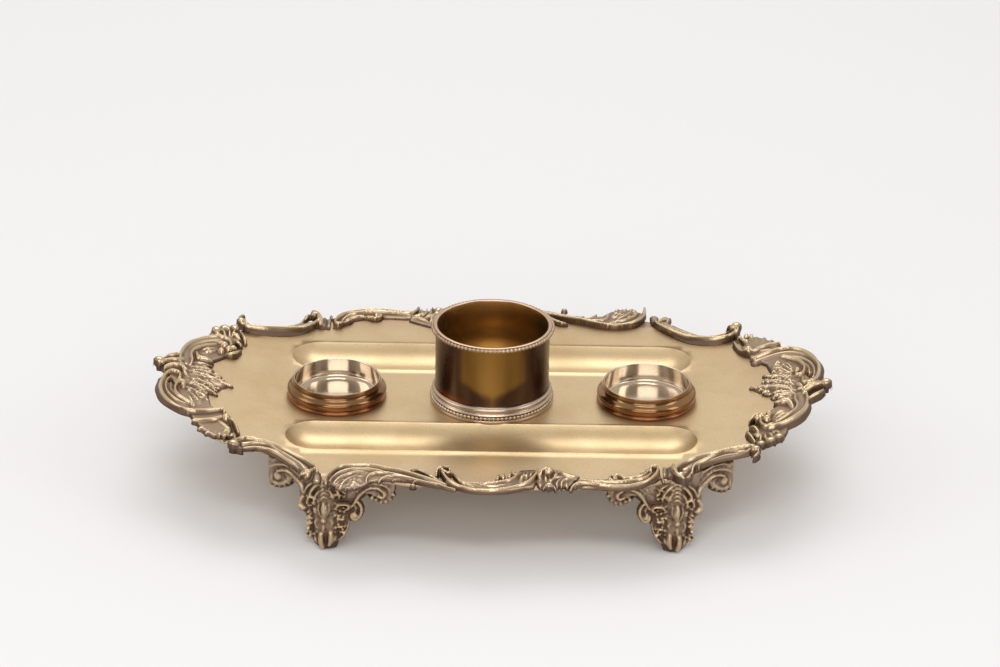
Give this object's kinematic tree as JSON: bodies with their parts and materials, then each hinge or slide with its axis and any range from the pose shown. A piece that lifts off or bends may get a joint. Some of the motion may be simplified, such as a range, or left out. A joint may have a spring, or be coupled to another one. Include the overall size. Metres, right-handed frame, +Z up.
{
  "type": "desk inkstand",
  "caption": "Footed desk inkstand tray with a cast scroll border, long pen troughs, an open beaded central gallery and low bottle collars at its sides.",
  "frame": {"origin": "on the table under the middle of the object's box", "axes": "+X along the tray's length, towards the right end; -Y towards the front; +Z up"},
  "size_m": [0.3108, 0.1994, 0.0733],
  "materials": {
    "tray_plate": "satin, worn plate with a soft champagne tint",
    "gallery_plate": "dark tarnished plate",
    "beads": "worn silver plate",
    "collar_plate": "polished plate with a copper tint",
    "border_silver": "antique silver plate, dark in its hollows",
    "foot_bronze": "tarnished plate worn to brass and copper"
  },
  "bodies": {
    "root": {"tray": "tray_plate", "gallery_wall": "gallery_plate", "gallery_top_beads": "beads", "gallery_base_beads": "beads", "left_bottle_collar": "collar_plate", "right_bottle_collar": "collar_plate", "front_left_corner_scroll": "border_silver", "front_right_corner_scroll": "border_silver", "rear_left_corner_scroll": "border_silver", "rear_right_corner_scroll": "border_silver", "front_leaf_scroll": "border_silver", "front_centre_scroll": "border_silver", "front_bud_spray": "border_silver", "front_ribbon_scroll": "border_silver", "rear_leaf_scroll": "border_silver", "rear_centre_scroll": "border_silver", "rear_bud_spray": "border_silver", "rear_ribbon_scroll": "border_silver", "left_end_mount": "border_silver", "right_end_mount": "border_silver", "front_left_foot": "foot_bronze", "front_right_foot": "foot_bronze", "rear_left_foot": "foot_bronze", "rear_right_foot": "foot_bronze"}
  },
  "joints": []
}
